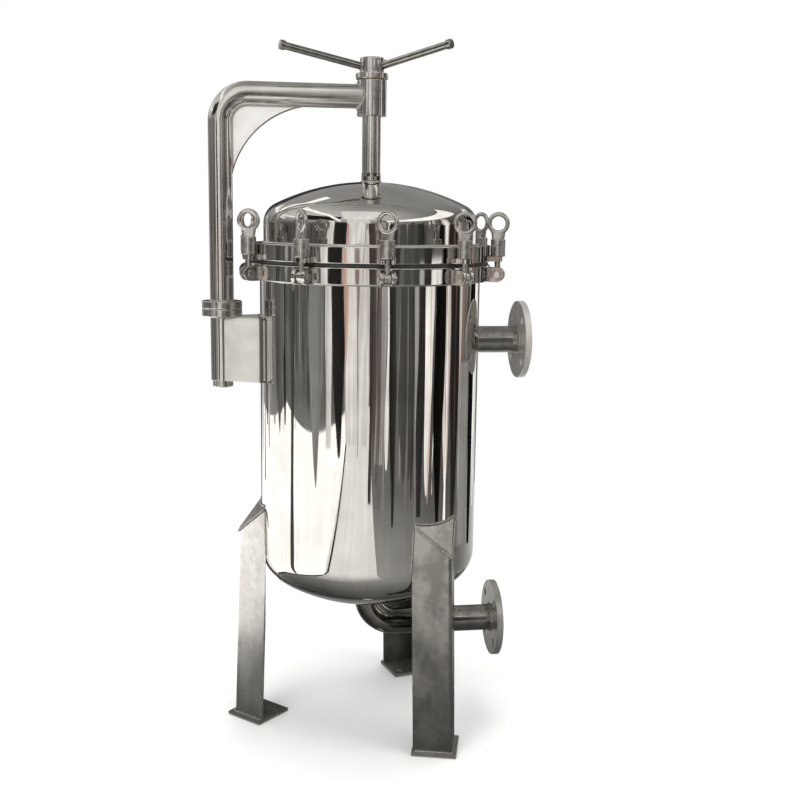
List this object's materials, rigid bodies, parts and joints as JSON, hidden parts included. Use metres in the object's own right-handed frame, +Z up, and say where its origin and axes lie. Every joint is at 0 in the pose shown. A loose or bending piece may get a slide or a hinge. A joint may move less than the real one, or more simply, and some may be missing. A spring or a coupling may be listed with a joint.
{
  "type": "bag filter housing",
  "caption": "Upright stainless bag filter housing on legs, with a domed lid held by swing eyebolts and lifted by a swinging davit",
  "frame": {"origin": "centre of the three foot anchor holes, on the vessel's axis at the floor", "axes": "+X along both nozzles, away from the davit's post; +Y to the left when looking along +X; +Z up"},
  "size_m": [0.682, 0.57, 1.4263],
  "materials": {
    "polished_stainless": "polished",
    "milled_stainless": "satin",
    "satin_stainless": "satin",
    "seal_rubber": "matte",
    "filter_felt": "matte",
    "bearing_bronze": "satin"
  },
  "bodies": {
    "vessel": {"shell": "polished_stainless", "bottom_head": "polished_stainless", "body_flange": "polished_stainless", "gasket": "seal_rubber", "flange_lugs": "polished_stainless", "hinge_pins": "polished_stainless", "inlet_pipe": "polished_stainless", "inlet_flange": "milled_stainless", "outlet_elbow": "polished_stainless", "outlet_flange": "milled_stainless", "leg_left": "milled_stainless", "leg_front": "milled_stainless", "leg_rear": "milled_stainless", "leg_cap_left": "milled_stainless", "leg_cap_front": "milled_stainless", "leg_cap_rear": "milled_stainless", "foot_left": "milled_stainless", "foot_front": "milled_stainless", "foot_rear": "milled_stainless", "davit_bracket": "satin_stainless", "davit_socket": "polished_stainless", "socket_collar": "polished_stainless", "tube_sheet": "milled_stainless", "bag_baskets": "milled_stainless", "filter_bags": "filter_felt", "hold_down": "milled_stainless"},
    "lid": {"lid_head": "polished_stainless", "lid_flange": "polished_stainless", "lid_ears": "polished_stainless", "lid_shoe": "polished_stainless"},
    "davit": {"davit_pipe": "polished_stainless", "davit_collar": "polished_stainless", "davit_spindle": "polished_stainless", "davit_gusset": "satin_stainless", "arm_boss": "polished_stainless", "thrust_washer": "bearing_bronze"},
    "lift_rod": {"lift_rod": "polished_stainless"},
    "handle": {"handle_hub": "polished_stainless", "handle_rods": "polished_stainless", "handle_caps": "polished_stainless"},
    "bolt_01": {"eyebolt_01": "polished_stainless"},
    "nut_01": {"ring_nut_01": "polished_stainless"},
    "bolt_02": {"eyebolt_02": "polished_stainless"},
    "nut_02": {"ring_nut_02": "polished_stainless"},
    "bolt_03": {"eyebolt_03": "polished_stainless"},
    "nut_03": {"ring_nut_03": "polished_stainless"},
    "bolt_04": {"eyebolt_04": "polished_stainless"},
    "nut_04": {"ring_nut_04": "polished_stainless"},
    "bolt_05": {"eyebolt_05": "polished_stainless"},
    "nut_05": {"ring_nut_05": "polished_stainless"},
    "bolt_06": {"eyebolt_06": "polished_stainless"},
    "nut_06": {"ring_nut_06": "polished_stainless"},
    "bolt_07": {"eyebolt_07": "polished_stainless"},
    "nut_07": {"ring_nut_07": "polished_stainless"},
    "bolt_08": {"eyebolt_08": "polished_stainless"},
    "nut_08": {"ring_nut_08": "polished_stainless"},
    "bolt_09": {"eyebolt_09": "polished_stainless"},
    "nut_09": {"ring_nut_09": "polished_stainless"},
    "bolt_10": {"eyebolt_10": "polished_stainless"},
    "nut_10": {"ring_nut_10": "polished_stainless"}
  },
  "joints": [
    {"name": "lid_lift", "type": "slide", "parent": "vessel", "child": "lid", "axis": [0, 0, 1], "range_m": [0, 0.02]},
    {"name": "davit_swing", "type": "hinge", "parent": "vessel", "child": "davit", "pos_m": [-0.308, 0, 0.894], "axis": [0, 0, 1], "range_deg": [-150, 150]},
    {"name": "rod_lift", "type": "slide", "parent": "davit", "child": "lift_rod", "axis": [0, 0, 1], "range_m": [0, 0.02]},
    {"name": "handle_turn", "type": "hinge", "parent": "davit", "child": "handle", "pos_m": [0, 0, 1.36104], "axis": [0, 0, 1], "range_deg": [0, 1200]},
    {"name": "bolt_01_swing", "type": "hinge", "parent": "vessel", "child": "bolt_01", "pos_m": [0.25346, 0.08235, 0.971], "axis": [-0.309, 0.9511, 0], "range_deg": [0, 120]},
    {"name": "nut_01_back_off", "type": "slide", "parent": "bolt_01", "child": "nut_01", "axis": [0, 0, 1], "range_m": [0, 0.02]},
    {"name": "bolt_02_swing", "type": "hinge", "parent": "vessel", "child": "bolt_02", "pos_m": [0.15664, 0.2156, 0.971], "axis": [-0.809, 0.5878, 0], "range_deg": [0, 120]},
    {"name": "nut_02_back_off", "type": "slide", "parent": "bolt_02", "child": "nut_02", "axis": [0, 0, 1], "range_m": [0, 0.02]},
    {"name": "bolt_03_swing", "type": "hinge", "parent": "vessel", "child": "bolt_03", "pos_m": [0, 0.2665, 0.971], "axis": [-1, 0, 0], "range_deg": [0, 120]},
    {"name": "nut_03_back_off", "type": "slide", "parent": "bolt_03", "child": "nut_03", "axis": [0, 0, 1], "range_m": [0, 0.02]},
    {"name": "bolt_04_swing", "type": "hinge", "parent": "vessel", "child": "bolt_04", "pos_m": [-0.15664, 0.2156, 0.971], "axis": [-0.809, -0.5878, 0], "range_deg": [0, 120]},
    {"name": "nut_04_back_off", "type": "slide", "parent": "bolt_04", "child": "nut_04", "axis": [0, 0, 1], "range_m": [0, 0.02]},
    {"name": "bolt_05_swing", "type": "hinge", "parent": "vessel", "child": "bolt_05", "pos_m": [-0.25346, 0.08235, 0.971], "axis": [-0.309, -0.9511, 0], "range_deg": [0, 120]},
    {"name": "nut_05_back_off", "type": "slide", "parent": "bolt_05", "child": "nut_05", "axis": [0, 0, 1], "range_m": [0, 0.02]},
    {"name": "bolt_06_swing", "type": "hinge", "parent": "vessel", "child": "bolt_06", "pos_m": [-0.25346, -0.08235, 0.971], "axis": [0.309, -0.9511, 0], "range_deg": [0, 120]},
    {"name": "nut_06_back_off", "type": "slide", "parent": "bolt_06", "child": "nut_06", "axis": [0, 0, 1], "range_m": [0, 0.02]},
    {"name": "bolt_07_swing", "type": "hinge", "parent": "vessel", "child": "bolt_07", "pos_m": [-0.15664, -0.2156, 0.971], "axis": [0.809, -0.5878, 0], "range_deg": [0, 120]},
    {"name": "nut_07_back_off", "type": "slide", "parent": "bolt_07", "child": "nut_07", "axis": [0, 0, 1], "range_m": [0, 0.02]},
    {"name": "bolt_08_swing", "type": "hinge", "parent": "vessel", "child": "bolt_08", "pos_m": [0, -0.2665, 0.971], "axis": [1, 0, 0], "range_deg": [0, 120]},
    {"name": "nut_08_back_off", "type": "slide", "parent": "bolt_08", "child": "nut_08", "axis": [0, 0, 1], "range_m": [0, 0.02]},
    {"name": "bolt_09_swing", "type": "hinge", "parent": "vessel", "child": "bolt_09", "pos_m": [0.15664, -0.2156, 0.971], "axis": [0.809, 0.5878, 0], "range_deg": [0, 120]},
    {"name": "nut_09_back_off", "type": "slide", "parent": "bolt_09", "child": "nut_09", "axis": [0, 0, 1], "range_m": [0, 0.02]},
    {"name": "bolt_10_swing", "type": "hinge", "parent": "vessel", "child": "bolt_10", "pos_m": [0.25346, -0.08235, 0.971], "axis": [0.309, 0.9511, 0], "range_deg": [0, 120]},
    {"name": "nut_10_back_off", "type": "slide", "parent": "bolt_10", "child": "nut_10", "axis": [0, 0, 1], "range_m": [0, 0.02]}
  ],
  "couplings": [
    {"joint": "rod_lift", "follows": "lid_lift", "ratio": 1},
    {"joint": "handle_turn", "follows": "lid_lift", "rad_per_m": 1047.2},
    {"joint": "nut_01_back_off", "follows": "lid_lift", "ratio": 1},
    {"joint": "nut_02_back_off", "follows": "lid_lift", "ratio": 1},
    {"joint": "nut_03_back_off", "follows": "lid_lift", "ratio": 1},
    {"joint": "nut_04_back_off", "follows": "lid_lift", "ratio": 1},
    {"joint": "nut_05_back_off", "follows": "lid_lift", "ratio": 1},
    {"joint": "nut_06_back_off", "follows": "lid_lift", "ratio": 1},
    {"joint": "nut_07_back_off", "follows": "lid_lift", "ratio": 1},
    {"joint": "nut_08_back_off", "follows": "lid_lift", "ratio": 1},
    {"joint": "nut_09_back_off", "follows": "lid_lift", "ratio": 1},
    {"joint": "nut_10_back_off", "follows": "lid_lift", "ratio": 1}
  ]
}
